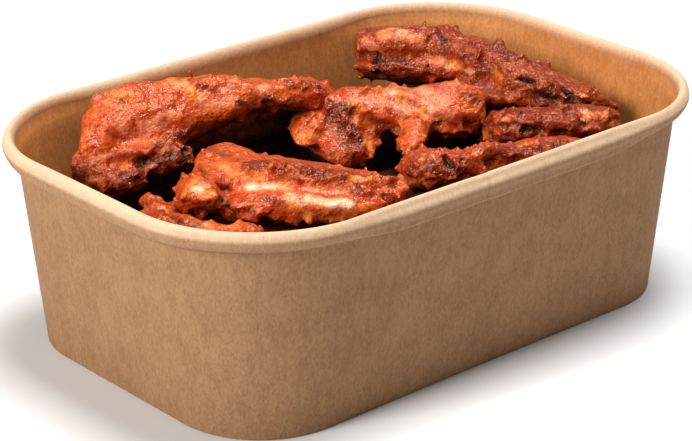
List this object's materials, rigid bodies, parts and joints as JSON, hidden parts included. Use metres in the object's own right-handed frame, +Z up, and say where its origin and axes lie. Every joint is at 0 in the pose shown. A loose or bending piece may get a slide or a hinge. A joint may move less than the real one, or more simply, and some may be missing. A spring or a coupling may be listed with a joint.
{
  "type": "microwavable food tray",
  "caption": "Kraft paper takeaway tray with rounded corners and a rolled rim, heaped with roast chicken wings in a sticky red-brown spicy sauce.",
  "frame": {"origin": "middle of the tray's foot, on the surface that it stands on", "axes": "+X along the tray's long sides, +Y across it, +Z up"},
  "size_m": [0.172, 0.1164, 0.0615],
  "materials": {
    "kraft_wall": "matte kraft board with fine fibres",
    "kraft_base": "matte kraft board",
    "glazed_skin": "glossy spicy sauce over roast skin",
    "crumbly_crust": "glossy sauce over a lumpy dark crust",
    "pale_meat": "glossy sauce, thin over pale meat",
    "dark_sauce": "wet dark sauce"
  },
  "bodies": {
    "root": {"tray_wall": "kraft_wall", "tray_base": "kraft_base", "wing_left_skin_on": "glazed_skin", "wing_middle": "glazed_skin", "wing_back_right": "crumbly_crust", "wing_front": "pale_meat", "wing_right_crumbly": "crumbly_crust", "wing_front_right": "glazed_skin", "wing_front_left": "glazed_skin", "wings_underneath": "dark_sauce"}
  },
  "joints": []
}
